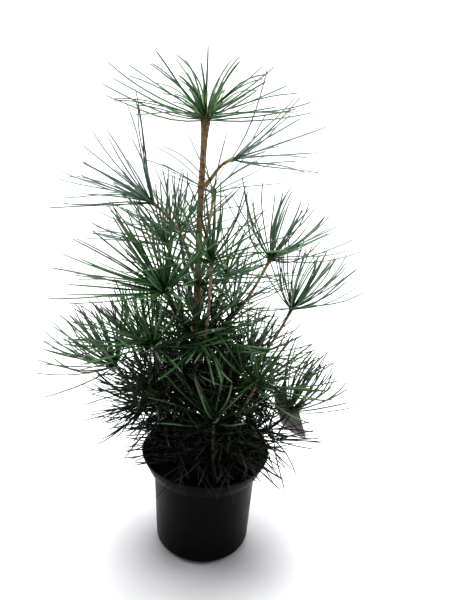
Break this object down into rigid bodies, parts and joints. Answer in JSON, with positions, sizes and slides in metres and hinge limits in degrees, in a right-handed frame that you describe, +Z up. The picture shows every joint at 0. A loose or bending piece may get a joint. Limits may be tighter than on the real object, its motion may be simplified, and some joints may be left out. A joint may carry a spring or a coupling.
{
  "type": "potted japanese umbrella pine",
  "caption": "Young umbrella pine in a round plastic nursery pot: a straight leader, bent-up boughs and whorls of long flat needles.",
  "frame": {"origin": "middle of the pot's flat underside, on the floor", "axes": "+Z up along the leader; -Y towards the side that the picture shows; +X to the right of that view"},
  "size_m": [0.3981, 0.3296, 0.6357],
  "materials": {
    "black_plastic": "satin black",
    "compost": "matt, crumbly",
    "bark": "matt, finely scaled",
    "needles": "waxy green",
    "grey_label": "satin grey"
  },
  "bodies": {
    "root": {"bough_high_back": "bark", "bough_high_back_left": "bark", "bough_high_front": "bark", "bough_high_left": "bark", "bough_high_right": "bark", "bough_low_back_left": "bark", "bough_low_back_right": "bark", "bough_low_front": "bark", "bough_low_front_right": "bark", "bough_low_left": "bark", "bough_low_right": "bark", "bough_mid_back": "bark", "bough_mid_back_right": "bark", "bough_mid_front_left": "bark", "bough_mid_left": "bark", "bough_mid_right": "bark", "bough_small_front": "bark", "bough_top_back": "bark", "bough_top_left": "bark", "bough_top_right": "bark", "plant_label": "grey_label", "pot": "black_plastic", "soil": "compost", "trunk": "bark", "whorl_crown": "needles", "whorl_high_back": "needles", "whorl_high_back_left": "needles", "whorl_high_front": "needles", "whorl_high_left": "needles", "whorl_high_right": "needles", "whorl_low_back_left": "needles", "whorl_low_back_right": "needles", "whorl_low_front": "needles", "whorl_low_front_right": "needles", "whorl_low_left": "needles", "whorl_low_right": "needles", "whorl_mid_back": "needles", "whorl_mid_back_right": "needles", "whorl_mid_front_left": "needles", "whorl_mid_left": "needles", "whorl_mid_right": "needles", "whorl_ring_1": "needles", "whorl_ring_2": "needles", "whorl_ring_3": "needles", "whorl_ring_4": "needles", "whorl_ring_5": "needles", "whorl_ring_back_left": "needles", "whorl_ring_back_right": "needles", "whorl_ring_front": "needles", "whorl_ring_high_front": "needles", "whorl_ring_low_left": "needles", "whorl_ring_low_right": "needles", "whorl_ring_mid_back": "needles", "whorl_ring_mid_left": "needles", "whorl_ring_mid_right": "needles", "whorl_ring_right": "needles", "whorl_small_front": "needles", "whorl_top_back": "needles", "whorl_top_left": "needles", "whorl_top_right": "needles"}
  },
  "joints": []
}
